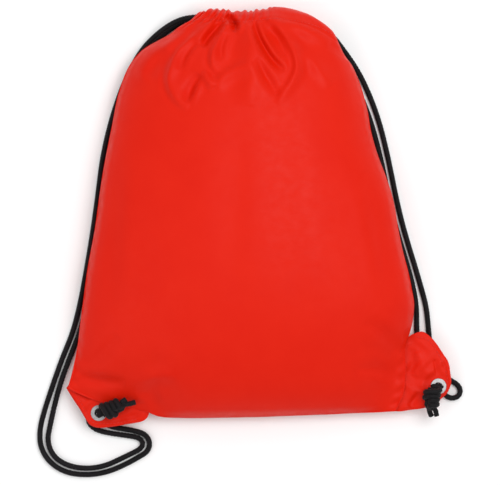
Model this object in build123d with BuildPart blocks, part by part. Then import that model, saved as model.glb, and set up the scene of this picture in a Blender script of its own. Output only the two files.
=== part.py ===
from build123d import *

import os
from math import pi, radians, tan

# Drawstring backpack: a gathered polyester sack with two doubled shoulder cords.
# The sack lies on its back on the plane z = 0. +X is its right-hand side, +Y points to
# the mouth and +Z points out of the front panel. All sizes are in millimetres.

os.makedirs("parts", exist_ok=True)

# ---------------------------------------------------------------- driving dimensions
WALL = 2.0                  # cloth wall of the sack
BOTTOM_WALL = 4.0           # cloth wall at the sack's bottom end
SEAM_Z = 16.0               # height of the side and bottom seams
SEAM_T = 1.6                # thickness of the seam allowance band
EDGE_INSET = 7.0            # width of the seam allowance inside the edge
REST_DIP = 1.0              # how far the underside would sag below the floor

MOUTH_Y = 172.0             # where the sack ends and the drawstring channels begin
CHANNEL_X0 = -52.0
CHANNEL_X1 = 38.0
CHANNEL_W = 25.0            # along Y
CHANNEL_T = 12.0            # along Z
CHANNEL_EDGE_R = 4.0
BACK_CHANNEL_Z = 1.0        # underside of the back channel
FRONT_CHANNEL_Z = 20.0      # underside of the front channel
TUNNEL_W = 16.0
TUNNEL_H = 7.0
LIP_GAP = 0.3               # running clearance at the front lip's fold and over the eyelets

CORD_D = 5.0
FLOOR_Z = 2.6               # centre height of a cord that lies on the floor
CORD_Y_LEFT = 187.0         # runs of the left cord inside the channels
CORD_Y_RIGHT = 180.0        # runs of the right cord inside the channels
ARC_SHARE = 0.45            # share of the shorter run that each bend takes up
TURN_REACH = 12.7           # how far a cord swings out past the channels to turn back
TURN_SHOULDER = 7.7
TURN_DROP = 1.0

EAR_T = 3.2                 # stacked cloth of a corner
EYELET_R = 4.0              # bore
BARREL_R = 4.6
FLANGE_R = 7.5
FLANGE_T = 0.8
LEFT_EYELET = (-150.0, -183.0)
RIGHT_EYELET = (168.0, -158.0)
FLANGE_ROUND = 0.7          # share of the flange thickness that is rounded off
RISER_R = 3.7               # the two strands squeezed through an eyelet
RISER_Z0 = 1.0

STITCH = (2.4, 0.6, 0.35)
STITCH_PITCH = 4.2
STITCH_INSET = 5.0          # from the channel's lower edge
STITCH_END = 3.0            # from the channel's open ends

# Stations of the sack: y, left edge x, right edge x, crown height, underside height.
STATIONS = [
    (-188.0, -92.0, 112.0, 25.0, 9.0),
    (-178.0, -116.0, 126.0, 30.0, 6.0),
    (-165.0, -148.0, 134.0, 38.0, 3.0),
    (-150.0, -170.0, 137.0, 47.0, 0.5),
    (-130.0, -171.0, 138.0, 57.0, -REST_DIP),
    (-100.0, -166.0, 142.0, 68.0, -REST_DIP),
    (-60.0, -161.0, 140.0, 79.0, -REST_DIP),
    (-15.0, -152.0, 131.0, 84.0, -REST_DIP),
    (30.0, -146.0, 121.0, 81.0, -REST_DIP),
    (75.0, -138.0, 108.0, 72.0, -REST_DIP),
    (115.0, -130.0, 98.0, 60.0, -REST_DIP),
    (145.0, -112.0, 84.0, 48.0, -0.6),
    (MOUTH_Y, -70.0, 66.0, 35.0, 0.4),
]


# ---------------------------------------------------------------- helpers
def finish_piece(builder, name):
    """Label a finished piece and write it to its own STEP file."""
    builder.part.label = name
    export_step(builder.part, f"parts/{name}.step")


def lens(x_left, x_right, z_edge, z_top, z_bottom):
    """Draw one closed lens-shaped section of the sack in the active sketch."""
    x_mid = (x_left + x_right) / 2
    with BuildLine() as outline:
        ThreePointArc((x_left, z_edge), (x_mid, z_top), (x_right, z_edge))
        ThreePointArc((x_right, z_edge), (x_mid, z_bottom), (x_left, z_edge))
    make_face(outline.edges())


def bend_radii(points):
    """Radius of each bend: a fixed share of the shorter run beside it."""
    radii = []
    for before, here, after in zip(points, points[1:], points[2:]):
        run_in = Vector(*here) - Vector(*before)
        run_out = Vector(*after) - Vector(*here)
        turn = run_in.get_angle(run_out)
        radii.append(ARC_SHARE * min(run_in.length, run_out.length) / tan(radians(turn / 2)))
    return radii


def cord_piece(name, points):
    """Make a plain round cord along straight runs joined by tangent arcs, and export it."""
    radii = bend_radii(points)
    with BuildLine() as path:
        FilletPolyline(*points, radius=radii)
    route = path.wires()[0]
    with BuildPart() as cord:
        with BuildSketch(Plane(origin=points[0], z_dir=route % 0)):
            Circle(CORD_D / 2)
        sweep(path=route)
    expected = route.length * pi * (CORD_D / 2) ** 2
    print(f"{name}: {route.length:.0f} mm long, volume/expected {cord.part.volume / expected:.4f},",
          "radii", " ".join(f"{radius:.1f}" for radius in radii))
    finish_piece(cord, name)


def stitch_rows(rows):
    """Add stitches to the active part: each row is a start, an end and a height."""
    for start, end, height in rows:
        run = Vector(*end) - Vector(*start)
        heading = Vector(1, 0, 0).get_signed_angle(Vector(run.X, run.Y, 0), Vector(0, 0, 1))
        count = int(run.length // STITCH_PITCH)
        for index in range(count):
            middle = Vector(*start) + run * ((index + 0.5) / count)
            with Locations(Location((middle.X, middle.Y, height), (0, 0, heading))):
                Box(*STITCH)


# ---------------------------------------------------------------- the sack's outer and inner forms
with BuildPart() as outer_form:
    for y, x_left, x_right, z_top, z_bottom in STATIONS:
        with BuildSketch(Plane.XZ.offset(-y)):
            lens(x_left, x_right, SEAM_Z, z_top, z_bottom)
    loft()

with BuildPart() as inner_form:
    for index, (y, x_left, x_right, z_top, z_bottom) in enumerate(STATIONS):
        inner_y = y + BOTTOM_WALL if index == 0 else y
        with BuildSketch(Plane.XZ.offset(-inner_y)):
            lens(x_left + EDGE_INSET, x_right - EDGE_INSET, SEAM_Z, z_top - WALL, z_bottom + WALL)
    loft()

with BuildPart() as sack:
    add(outer_form.part)
    add(inner_form.part, mode=Mode.SUBTRACT)
    split(bisect_by=Plane.XY, keep=Keep.TOP)

# ---------------------------------------------------------------- panels and seams
with BuildPart() as front_panel:
    add(sack.part)
    split(bisect_by=Plane.XY.offset(SEAM_Z + SEAM_T / 2), keep=Keep.TOP)
finish_piece(front_panel, "front_panel")

with BuildPart() as back_panel:
    add(sack.part)
    split(bisect_by=Plane.XY.offset(SEAM_Z - SEAM_T / 2), keep=Keep.BOTTOM)
finish_piece(back_panel, "back_panel")

with BuildPart() as seam_band:
    add(sack.part)
    split(bisect_by=Plane.XY.offset(SEAM_Z + SEAM_T / 2), keep=Keep.BOTTOM)
    split(bisect_by=Plane.XY.offset(SEAM_Z - SEAM_T / 2), keep=Keep.TOP)

SEAM_CORNER_Y = -160.0
with BuildPart() as bottom_seam:
    add(seam_band.part)
    split(bisect_by=Plane.XZ.offset(-SEAM_CORNER_Y), keep=Keep.TOP)
finish_piece(bottom_seam, "bottom_seam")

for side, kept in (("left", Keep.BOTTOM), ("right", Keep.TOP)):
    with BuildPart() as side_seam:
        add(seam_band.part)
        split(bisect_by=Plane.XZ.offset(-SEAM_CORNER_Y), keep=Keep.BOTTOM)
        split(bisect_by=Plane.YZ, keep=kept)
    finish_piece(side_seam, f"{side}_side_seam")

# ---------------------------------------------------------------- drawstring channels
CHANNEL_MID_X = (CHANNEL_X0 + CHANNEL_X1) / 2
CHANNEL_LEN = CHANNEL_X1 - CHANNEL_X0
CHANNEL_Y0 = MOUTH_Y + LIP_GAP
CHANNEL_MID_Y = CHANNEL_Y0 + CHANNEL_W / 2
TUNNEL_MID_Y = (CORD_Y_LEFT + CORD_Y_RIGHT) / 2
for side, z_low in (("front", FRONT_CHANNEL_Z), ("back", BACK_CHANNEL_Z)):
    z_mid = z_low + CHANNEL_T / 2
    with BuildPart() as channel:
        with BuildSketch(Plane.YZ.offset(CHANNEL_X0)):
            with Locations((CHANNEL_MID_Y, z_mid)):
                RectangleRounded(CHANNEL_W, CHANNEL_T, CHANNEL_EDGE_R)
            with Locations((TUNNEL_MID_Y, z_mid)):
                SlotOverall(TUNNEL_W, TUNNEL_H, mode=Mode.SUBTRACT)
        extrude(amount=CHANNEL_LEN)
    finish_piece(channel, f"{side}_channel")

    thread_z = z_low + CHANNEL_T if side == "front" else z_low
    thread_z += STITCH[2] / 2 if side == "front" else -STITCH[2] / 2
    thread_y = CHANNEL_Y0 + STITCH_INSET
    with BuildPart() as channel_stitching:
        start = (CHANNEL_X0 + STITCH_END, thread_y, 0)
        end = (CHANNEL_X1 - STITCH_END, thread_y, 0)
        stitch_rows([(start, end, thread_z)])
    finish_piece(channel_stitching, f"{side}_channel_stitching")

FRONT_CORD_Z = FRONT_CHANNEL_Z + CHANNEL_T / 2
BACK_CORD_Z = BACK_CHANNEL_Z + CHANNEL_T / 2

# ---------------------------------------------------------------- corners with eyelets
EAR_Z0 = SEAM_Z - EAR_T / 2
EAR_Z1 = SEAM_Z + EAR_T / 2
LEFT_EAR = [
    (-180.5, -159.5), (-162.5, -192.5), (-157.0, -196.5), (-150.0, -197.0), (-112.0, -191.5),
    (-105.5, -187.0), (-104.0, -179.0), (-120.0, -160.0), (-160.0, -145.0),
]
RIGHT_EAR = [
    (137.0, -112.5), (148.0, -108.0), (160.0, -107.0), (169.0, -115.5), (176.5, -129.0),
    (179.5, -143.0), (180.5, -159.0), (170.0, -172.0), (155.0, -179.0), (122.0, -184.0),
    (112.0, -160.0),
]
CORNERS = {
    "left": (LEFT_EAR, LEFT_EYELET, ((-171.0, -164.5), (-112.0, -183.5))),
    "right": (RIGHT_EAR, RIGHT_EYELET, ((146.0, -115.0), (150.0, -172.0))),
}
for side, (outline, eyelet_at, seam_line) in CORNERS.items():
    with BuildPart() as corner:
        with BuildSketch(Plane.XY.offset(EAR_Z0)):
            with BuildLine():
                Polyline(*outline, close=True)
            make_face()
            with Locations(eyelet_at):
                Circle(BARREL_R, mode=Mode.SUBTRACT)
        extrude(amount=EAR_T)
        add(outer_form.part, mode=Mode.SUBTRACT)
    finish_piece(corner, f"{side}_corner")

    with BuildPart() as corner_stitching:
        start, end = seam_line
        stitch_rows([((*start, 0), (*end, 0), EAR_Z1 + STITCH[2] / 2)])
    finish_piece(corner_stitching, f"{side}_corner_stitching")

    with BuildPart() as eyelet:
        with BuildSketch(Plane.XY.offset(EAR_Z0 - FLANGE_T)):
            with Locations(eyelet_at):
                Circle(BARREL_R)
                Circle(EYELET_R, mode=Mode.SUBTRACT)
        extrude(amount=EAR_T + FLANGE_T)
        with BuildSketch(Plane.XY.offset(EAR_Z1)):
            with Locations(eyelet_at):
                Circle(FLANGE_R)
                Circle(EYELET_R, mode=Mode.SUBTRACT)
        extrude(amount=FLANGE_T)
        rim = eyelet.edges().filter_by(GeomType.CIRCLE).sort_by(Axis.Z)[-2:]
        fillet(rim.sort_by(SortBy.RADIUS)[-1], FLANGE_T * FLANGE_ROUND)
    finish_piece(eyelet, f"{side}_eyelet")

    with BuildPart() as washer:
        with BuildSketch(Plane.XY.offset(EAR_Z0 - FLANGE_T)):
            with Locations(eyelet_at):
                Circle(FLANGE_R)
                Circle(BARREL_R, mode=Mode.SUBTRACT)
        extrude(amount=FLANGE_T)
    finish_piece(washer, f"{side}_eyelet_washer")

    with BuildPart() as riser:
        with BuildSketch(Plane.XY.offset(RISER_Z0)):
            with Locations(eyelet_at):
                Circle(RISER_R)
        extrude(amount=EAR_Z1 + FLANGE_T + LIP_GAP - RISER_Z0)
    finish_piece(riser, f"{side}_cord_riser")

# ---------------------------------------------------------------- knots
KNOT_Z = EAR_Z1 + FLANGE_T + LIP_GAP
KNOT_T = 14.5
KNOT_EDGE = 5.5
TAIL_OVERLAP = 0.8          # share of the way to the knot's middle that a tail runs
# Each knot: eyelet, middle, plan size, heading in degrees, ends of its two tails.
KNOTS = {
    "left": (LEFT_EYELET, (-137.5, -182.0), (20.0, 15.0), 14.0,
             [(-123.6, -169.3, 29.0), (-115.3, -171.6, 27.5)]),
    "right": (RIGHT_EYELET, (160.5, -167.0), (17.0, 21.0), -10.0,
              [(161.4, -185.0, 22.0), (166.4, -185.4, 21.5)]),
}
for side, (eyelet_at, middle, plan, heading, tail_ends) in KNOTS.items():
    centre = Vector(*middle, KNOT_Z + KNOT_T / 2)
    neck_tip = (Vector(*eyelet_at, KNOT_Z + RISER_R), RISER_R)
    tail_tips = [(Vector(*end), CORD_D / 2) for end in tail_ends]
    with BuildPart() as knot:
        with Locations(Location(centre, (0, 0, heading))):
            Box(*plan, KNOT_T)
        fillet(knot.edges(), KNOT_EDGE)
        for tip, radius in (neck_tip, *tail_tips):
            run = centre - tip
            with BuildSketch(Plane(origin=tip, z_dir=run)):
                Circle(radius)
            extrude(amount=run.length * TAIL_OVERLAP)
    finish_piece(knot, f"{side}_knot")

# ---------------------------------------------------------------- cords in the channels
RUN_END = 0.3               # the runs end this far outside the channel
RUNS = (("left", CORD_Y_LEFT, CHANNEL_X1, 1), ("right", CORD_Y_RIGHT, CHANNEL_X0, -1))
for side, run_y, far_x, outward in RUNS:
    with BuildPart() as front_run:
        with BuildSketch(Plane.YZ.offset(CHANNEL_X0)):
            with Locations((run_y, FRONT_CORD_Z)):
                Circle(CORD_D / 2)
        extrude(amount=CHANNEL_LEN)
    finish_piece(front_run, f"{side}_cord_front_run")

    with BuildPart() as back_run:
        with BuildSketch(Plane.YZ.offset(CHANNEL_X0)):
            with Locations((run_y, BACK_CORD_Z)):
                Circle(CORD_D / 2)
        extrude(amount=CHANNEL_LEN)
    finish_piece(back_run, f"{side}_cord_back_run")

    start_x = far_x + outward * RUN_END
    turn_points = [
        (start_x, run_y, FRONT_CORD_Z),
        (start_x + outward * TURN_SHOULDER, run_y, FRONT_CORD_Z - TURN_DROP),
        (start_x + outward * TURN_REACH, run_y, (FRONT_CORD_Z + BACK_CORD_Z) / 2),
        (start_x + outward * TURN_SHOULDER, run_y, BACK_CORD_Z + TURN_DROP),
        (start_x, run_y, BACK_CORD_Z),
    ]
    cord_piece(f"{side}_cord_turn", turn_points)

# ---------------------------------------------------------------- shoulder cords
X_LEFT_EXIT = CHANNEL_X0 - RUN_END
X_RIGHT_EXIT = CHANNEL_X1 + RUN_END
cord_piece("left_cord_front_strand", [
    (X_LEFT_EXIT, CORD_Y_LEFT, FRONT_CORD_Z), (-65.0, CORD_Y_LEFT, FRONT_CORD_Z), (-80.5, 182.5, 18.0),
    (-97.0, 171.5, 9.5), (-112.0, 156.0, 4.0), (-126.0, 130.0, FLOOR_Z), (-138.0, 96.0, FLOOR_Z),
    (-147.0, 59.0, FLOOR_Z), (-151.5, 22.0, FLOOR_Z), (-156.5, -14.0, FLOOR_Z),
    (-162.0, -47.0, FLOOR_Z), (-168.0, -80.0, FLOOR_Z), (-175.0, -108.0, FLOOR_Z),
    (-185.0, -132.0, FLOOR_Z), (-193.5, -156.0, FLOOR_Z), (-201.5, -180.0, FLOOR_Z),
    (-206.5, -199.0, FLOOR_Z), (-206.0, -216.0, FLOOR_Z), (-197.0, -231.0, FLOOR_Z),
    (-181.0, -240.5, FLOOR_Z), (-161.0, -242.5, FLOOR_Z), (-142.0, -239.5, FLOOR_Z),
    (-125.0, -232.0, FLOOR_Z), (-113.0, -224.5, FLOOR_Z), (-105.5, -216.5, FLOOR_Z),
    (-107.5, -207.0, FLOOR_Z), (-120.0, -199.8, FLOOR_Z), (-138.0, -196.0, FLOOR_Z),
    (-148.0, -193.0, FLOOR_Z), (-150.0, -187.1, FLOOR_Z),
])
cord_piece("left_cord_back_strand", [
    (X_LEFT_EXIT, CORD_Y_LEFT, BACK_CORD_Z), (-62.0, CORD_Y_LEFT, BACK_CORD_Z), (-76.0, 178.5, 5.0),
    (-91.0, 166.0, 3.5), (-105.0, 150.5, FLOOR_Z), (-119.0, 127.0, FLOOR_Z),
    (-131.0, 94.0, FLOOR_Z), (-140.0, 58.0, FLOOR_Z), (-145.0, 22.0, FLOOR_Z),
    (-150.0, -13.0, FLOOR_Z), (-155.5, -46.0, FLOOR_Z), (-161.5, -79.0, FLOOR_Z),
    (-168.5, -108.0, FLOOR_Z), (-178.5, -133.0, FLOOR_Z), (-187.0, -156.0, FLOOR_Z),
    (-192.5, -177.0, FLOOR_Z), (-196.5, -195.0, FLOOR_Z), (-199.5, -211.0, FLOOR_Z),
    (-193.0, -226.0, FLOOR_Z), (-178.0, -234.5, FLOOR_Z), (-160.0, -236.5, FLOOR_Z),
    (-144.0, -233.5, FLOOR_Z), (-131.0, -227.0, FLOOR_Z), (-120.0, -220.5, FLOOR_Z),
    (-113.0, -216.5, FLOOR_Z), (-115.0, -210.0, FLOOR_Z), (-125.0, -206.5, FLOOR_Z),
    (-140.0, -203.5, FLOOR_Z), (-153.5, -200.0, FLOOR_Z), (-161.0, -193.0, FLOOR_Z),
    (-160.0, -185.5, FLOOR_Z), (-154.1, -183.0, FLOOR_Z),
])
cord_piece("right_cord_front_strand", [
    (X_RIGHT_EXIT, CORD_Y_RIGHT, FRONT_CORD_Z), (49.0, CORD_Y_RIGHT, FRONT_CORD_Z), (59.5, 178.0, 15.5),
    (70.0, 170.0, 7.0), (81.0, 156.0, 3.5), (94.0, 137.0, FLOOR_Z), (105.0, 113.5, FLOOR_Z),
    (113.0, 91.0, FLOOR_Z), (119.0, 68.0, FLOOR_Z), (124.0, 45.0, FLOOR_Z),
    (128.5, 22.0, FLOOR_Z), (134.0, -2.0, FLOOR_Z), (140.5, -25.0, FLOOR_Z),
    (147.0, -46.0, FLOOR_Z), (152.5, -65.0, FLOOR_Z), (157.5, -83.0, FLOOR_Z),
    (159.5, -102.0, FLOOR_Z), (161.0, -120.0, FLOOR_Z), (166.0, -136.0, FLOOR_Z),
    (174.0, -150.0, FLOOR_Z), (183.0, -158.5, FLOOR_Z), (190.5, -164.0, FLOOR_Z),
    (189.5, -170.5, FLOOR_Z), (181.5, -172.0, FLOOR_Z), (174.5, -167.5, FLOOR_Z),
    (170.4, -161.4, FLOOR_Z),
])
cord_piece("right_cord_back_strand", [
    (X_RIGHT_EXIT, CORD_Y_RIGHT, BACK_CORD_Z), (47.5, CORD_Y_RIGHT, BACK_CORD_Z), (58.0, 173.5, 4.5),
    (67.0, 163.0, FLOOR_Z), (77.0, 149.0, FLOOR_Z), (89.0, 129.5, FLOOR_Z),
    (99.0, 108.0, FLOOR_Z), (106.5, 87.0, FLOOR_Z), (112.5, 65.0, FLOOR_Z),
    (117.5, 43.0, FLOOR_Z), (122.0, 20.0, FLOOR_Z), (127.5, -3.0, FLOOR_Z),
    (134.0, -26.0, FLOOR_Z), (140.5, -47.0, FLOOR_Z), (145.5, -66.0, FLOOR_Z),
    (148.5, -84.0, FLOOR_Z), (148.5, -102.0, FLOOR_Z), (149.5, -119.0, FLOOR_Z),
    (153.0, -134.0, FLOOR_Z), (158.5, -146.0, FLOOR_Z), (165.1, -155.1, FLOOR_Z),
])
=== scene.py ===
"""Drawstring backpack: the looks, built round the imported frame. Metres throughout."""

import math

import bpy
import numpy as np
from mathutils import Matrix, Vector


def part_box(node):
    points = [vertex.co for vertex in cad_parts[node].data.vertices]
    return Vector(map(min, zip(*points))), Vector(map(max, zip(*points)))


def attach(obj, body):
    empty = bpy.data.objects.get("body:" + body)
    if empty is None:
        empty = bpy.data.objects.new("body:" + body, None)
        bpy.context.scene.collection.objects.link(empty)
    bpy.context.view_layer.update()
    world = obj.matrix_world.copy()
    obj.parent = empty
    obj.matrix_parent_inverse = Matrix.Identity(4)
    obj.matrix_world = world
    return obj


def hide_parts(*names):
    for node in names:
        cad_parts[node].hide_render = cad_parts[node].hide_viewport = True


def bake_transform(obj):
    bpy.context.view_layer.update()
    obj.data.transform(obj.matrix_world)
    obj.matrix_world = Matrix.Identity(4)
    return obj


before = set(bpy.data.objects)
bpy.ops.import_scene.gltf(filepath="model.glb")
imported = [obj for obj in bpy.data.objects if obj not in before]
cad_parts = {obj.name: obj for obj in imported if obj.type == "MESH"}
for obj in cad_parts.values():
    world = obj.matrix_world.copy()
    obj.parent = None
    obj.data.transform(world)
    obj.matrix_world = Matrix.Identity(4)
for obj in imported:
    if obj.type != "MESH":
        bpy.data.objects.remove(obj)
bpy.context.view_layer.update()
scene = bpy.context.scene

# ------------------------------------------------------------------ sizes and places
CORD_D = 0.005
CLOTH_T = 0.0007         # drawn thicker than real cloth, so that its edges show

EAR_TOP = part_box("left_corner")[1].z
EAR_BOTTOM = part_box("left_corner")[0].z
HOLE_R = 0.0046          # hole in a corner's cloth, under the eyelet's flange
LEFT_EYELET = sum(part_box("left_eyelet"), Vector()) / 2
RIGHT_EYELET = sum(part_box("right_eyelet"), Vector()) / 2
FLANGE_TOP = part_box("left_eyelet")[1].z
FRONT_CORD_Z = (sum(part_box("left_cord_front_run"), Vector()) / 2).z
BACK_CORD_Z = (sum(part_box("left_cord_back_run"), Vector()) / 2).z


# ------------------------------------------------------------------ small helpers
def smooth_line(points, count):
    """Points evenly spaced along a smooth curve through the given ones."""
    p = np.array(points, float)
    ends = np.vstack([2 * p[0] - p[1], p, 2 * p[-1] - p[-2]])
    fine = []
    for a, b, c, d in zip(ends, ends[1:], ends[2:], ends[3:]):
        for u in np.linspace(0, 1, 12, endpoint=False):
            fine.append(0.5 * (2 * b + (c - a) * u + (2 * a - 5 * b + 4 * c - d) * u * u
                               + (3 * b - a - 3 * c + d) * u ** 3))
    fine.append(p[-1])
    fine = np.array(fine)
    reach = np.concatenate([[0], np.cumsum(np.linalg.norm(np.diff(fine, axis=0), axis=1))])
    at = np.linspace(0, reach[-1], count)
    return np.column_stack([np.interp(at, reach, fine[:, k]) for k in range(p.shape[1])])


def smoothstep(x, low, high):
    t = np.clip((x - low) / (high - low), 0, 1)
    return t * t * (3 - 2 * t)


def line_distance(xy, line):
    """Distance to a polyline, how far along it the nearest point is (0 to 1), and the side."""
    best = np.full(len(xy), 1e9)
    along = np.zeros(len(xy))
    side = np.zeros(len(xy))
    lengths = np.linalg.norm(np.diff(line, axis=0), axis=1)
    reach = np.concatenate([[0], np.cumsum(lengths)])
    for k, (a, b) in enumerate(zip(line, line[1:])):
        run = b - a
        u = np.clip(((xy - a) @ run) / (run @ run), 0, 1)
        off = xy - (a + u[:, None] * run)
        dist = np.hypot(off[:, 0], off[:, 1])
        near = dist < best
        best[near] = dist[near]
        along[near] = ((reach[k] + u * lengths[k]) / reach[-1])[near]
        side[near] = np.sign(run[0] * off[:, 1] - run[1] * off[:, 0])[near]
    return best, along, side


def grid_faces(rows, columns, wrap=False, start=0):
    """Quads of a grid of vertices stored row by row; wrap joins the last column to the first."""
    faces = []
    last = columns if wrap else columns - 1
    for j in range(rows - 1):
        for i in range(last):
            k = (i + 1) % columns
            faces.append((start + j * columns + i, start + j * columns + k,
                          start + (j + 1) * columns + k, start + (j + 1) * columns + i))
    return faces


def new_mesh(name, vertices, faces, material=None, smooth=True):
    mesh = bpy.data.meshes.new(name)
    mesh.from_pydata([tuple(map(float, v)) for v in vertices], [], faces)
    mesh.validate()
    mesh.update()
    if smooth:
        mesh.polygons.foreach_set("use_smooth", [True] * len(mesh.polygons))
    obj = bpy.data.objects.new(name, mesh)
    scene.collection.objects.link(obj)
    if material:
        mesh.materials.append(material)
    return obj


def apply_modifiers(obj):
    bpy.context.view_layer.update()
    graph = bpy.context.evaluated_depsgraph_get()
    final = bpy.data.meshes.new_from_object(obj.evaluated_get(graph))
    obj.modifiers.clear()
    obj.data = final
    final.polygons.foreach_set("use_smooth", [True] * len(final.polygons))
    return obj


# ------------------------------------------------------------------ materials
class Nodes:
    """A short way to write a node tree."""

    def __init__(self, material):
        material.use_nodes = True
        self.tree = material.node_tree
        self.shader = self.tree.nodes["Principled BSDF"]

    def add(self, kind, inputs=None, **settings):
        node = self.tree.nodes.new(kind)
        for key, value in settings.items():
            setattr(node, key, value)
        for key, value in (inputs or {}).items():
            self.put(node.inputs[key], value)
        return node

    def put(self, socket, value):
        if isinstance(value, bpy.types.NodeSocket):
            self.tree.links.new(value, socket)
        else:
            socket.default_value = value

    def math(self, operation, a, b=0.0):
        return self.add("ShaderNodeMath", {0: a, 1: b}, operation=operation).outputs[0]

    def mix(self, share, a, b):
        node = self.add("ShaderNodeMix", data_type="RGBA")
        self.put(node.inputs[0], share)
        self.put(node.inputs[6], a)
        self.put(node.inputs[7], b)
        return node.outputs[2]


THREAD_PITCH = 0.00075   # two threads of the weave
WEAVE_HEIGHT = 0.000018
CRINKLE_HEIGHT = 0.00022


def cloth_material():
    """Red woven polyester: a fine plain weave, soft creases and a satin sheen."""
    material = bpy.data.materials.new("red_polyester")
    n = Nodes(material)
    place = n.add("ShaderNodeTexCoord").outputs["Object"]
    split = n.add("ShaderNodeSeparateXYZ", {0: place})
    thread = 2 * math.pi / THREAD_PITCH
    warp = n.math("SINE", n.math("MULTIPLY", split.outputs[0], thread))
    rows = n.math("ADD", split.outputs[1], split.outputs[2])
    weft = n.math("SINE", n.math("MULTIPLY", rows, thread))
    weave = n.math("MULTIPLY", warp, weft)
    slub = n.add("ShaderNodeTexNoise", {"Vector": place, "Scale": 26.0, "Detail": 5.0, "Roughness": 0.6})
    crinkle = n.add("ShaderNodeTexNoise",
                    {"Vector": place, "Scale": 130.0, "Detail": 4.0, "Roughness": 0.55})
    tone = n.add("ShaderNodeMapRange", {0: slub.outputs["Fac"], 1: 0.3, 2: 0.7, 3: 0.0, 4: 1.0})
    red = n.mix(tone.outputs[0], (0.690, 0.0105, 0.0010, 1), (0.712, 0.0130, 0.0018, 1))
    threads = n.add("ShaderNodeMapRange", {0: weave, 1: -1.0, 2: 1.0, 3: 0.0, 4: 0.10})
    red = n.mix(threads.outputs[0], red, (0.52, 0.007, 0.001, 1))
    n.put(n.shader.inputs["Base Color"], red)
    rough = n.add("ShaderNodeMapRange", {0: crinkle.outputs["Fac"], 1: 0.3, 2: 0.7, 3: 0.42, 4: 0.56})
    n.put(n.shader.inputs["Roughness"], rough.outputs[0])
    n.shader.inputs["Specular IOR Level"].default_value = 0.12
    n.shader.inputs["Sheen Weight"].default_value = 0.06
    n.shader.inputs["Sheen Roughness"].default_value = 0.4
    n.shader.inputs["Sheen Tint"].default_value = (1.0, 0.16, 0.08, 1)
    height = n.math("ADD", n.math("MULTIPLY", weave, WEAVE_HEIGHT),
                    n.math("MULTIPLY", crinkle.outputs["Fac"], CRINKLE_HEIGHT))
    bump = n.add("ShaderNodeBump", {"Strength": 0.55, "Distance": 1.0, "Height": height})
    n.put(n.shader.inputs["Normal"], bump.outputs[0])
    return material


def cord_material():
    """Black braided polyester: dark yarns with a dull sheen."""
    material = bpy.data.materials.new("black_braid")
    n = Nodes(material)
    place = n.add("ShaderNodeTexCoord").outputs["Object"]
    fibre = n.add("ShaderNodeTexNoise",
                  {"Vector": place, "Scale": 2200.0, "Detail": 3.0, "Roughness": 0.6})
    blotch = n.add("ShaderNodeTexNoise", {"Vector": place, "Scale": 60.0, "Detail": 2.0})
    shade = n.math("MULTIPLY", fibre.outputs["Fac"], blotch.outputs["Fac"])
    tone = n.add("ShaderNodeMapRange", {0: shade, 1: 0.12, 2: 0.40, 3: 0.0, 4: 1.0})
    black = n.mix(tone.outputs[0], (0.0012, 0.0010, 0.0013, 1), (0.0085, 0.0070, 0.0090, 1))
    n.put(n.shader.inputs["Base Color"], black)
    rough = n.add("ShaderNodeMapRange", {0: fibre.outputs["Fac"], 1: 0.3, 2: 0.7, 3: 0.55, 4: 0.8})
    n.put(n.shader.inputs["Roughness"], rough.outputs[0])
    n.shader.inputs["Specular IOR Level"].default_value = 0.18
    n.shader.inputs["Sheen Weight"].default_value = 0.05
    n.shader.inputs["Sheen Roughness"].default_value = 0.5
    bump = n.add("ShaderNodeBump",
                 {"Strength": 0.5, "Distance": 0.0002, "Height": fibre.outputs["Fac"]})
    n.put(n.shader.inputs["Normal"], bump.outputs[0])
    return material


def thread_material():
    """Red sewing thread, a shade darker than the cloth, twisted."""
    material = bpy.data.materials.new("red_thread")
    n = Nodes(material)
    place = n.add("ShaderNodeTexCoord").outputs["Object"]
    twist = n.add("ShaderNodeTexNoise", {"Vector": place, "Scale": 1500.0, "Detail": 2.0})
    tone = n.add("ShaderNodeMapRange", {0: twist.outputs["Fac"], 1: 0.35, 2: 0.65, 3: 0.0, 4: 1.0})
    red = n.mix(tone.outputs[0], (0.62, 0.0085, 0.0012, 1), (0.72, 0.0140, 0.0030, 1))
    n.put(n.shader.inputs["Base Color"], red)
    n.shader.inputs["Roughness"].default_value = 0.5
    bump = n.add("ShaderNodeBump",
                 {"Strength": 0.4, "Distance": 0.0002, "Height": twist.outputs["Fac"]})
    n.put(n.shader.inputs["Normal"], bump.outputs[0])
    return material


def metal_material():
    """Nickel-plated brass eyelets with fine scuffs."""
    material = bpy.data.materials.new("nickel")
    n = Nodes(material)
    place = n.add("ShaderNodeTexCoord").outputs["Object"]
    scuff = n.add("ShaderNodeTexNoise",
                  {"Vector": place, "Scale": 900.0, "Detail": 5.0, "Roughness": 0.65})
    tone = n.add("ShaderNodeMapRange", {0: scuff.outputs["Fac"], 1: 0.35, 2: 0.65, 3: 0.0, 4: 1.0})
    grey = n.mix(tone.outputs[0], (0.30, 0.29, 0.29, 1), (0.44, 0.44, 0.45, 1))
    n.put(n.shader.inputs["Base Color"], grey)
    rough = n.add("ShaderNodeMapRange", {0: scuff.outputs["Fac"], 1: 0.3, 2: 0.7, 3: 0.34, 4: 0.52})
    n.put(n.shader.inputs["Roughness"], rough.outputs[0])
    n.shader.inputs["Metallic"].default_value = 1.0
    bump = n.add("ShaderNodeBump",
                 {"Strength": 0.15, "Distance": 0.0001, "Height": scuff.outputs["Fac"]})
    n.put(n.shader.inputs["Normal"], bump.outputs[0])
    return material


CLOTH = cloth_material()
CORD = cord_material()
THREAD = thread_material()
METAL = metal_material()


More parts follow.
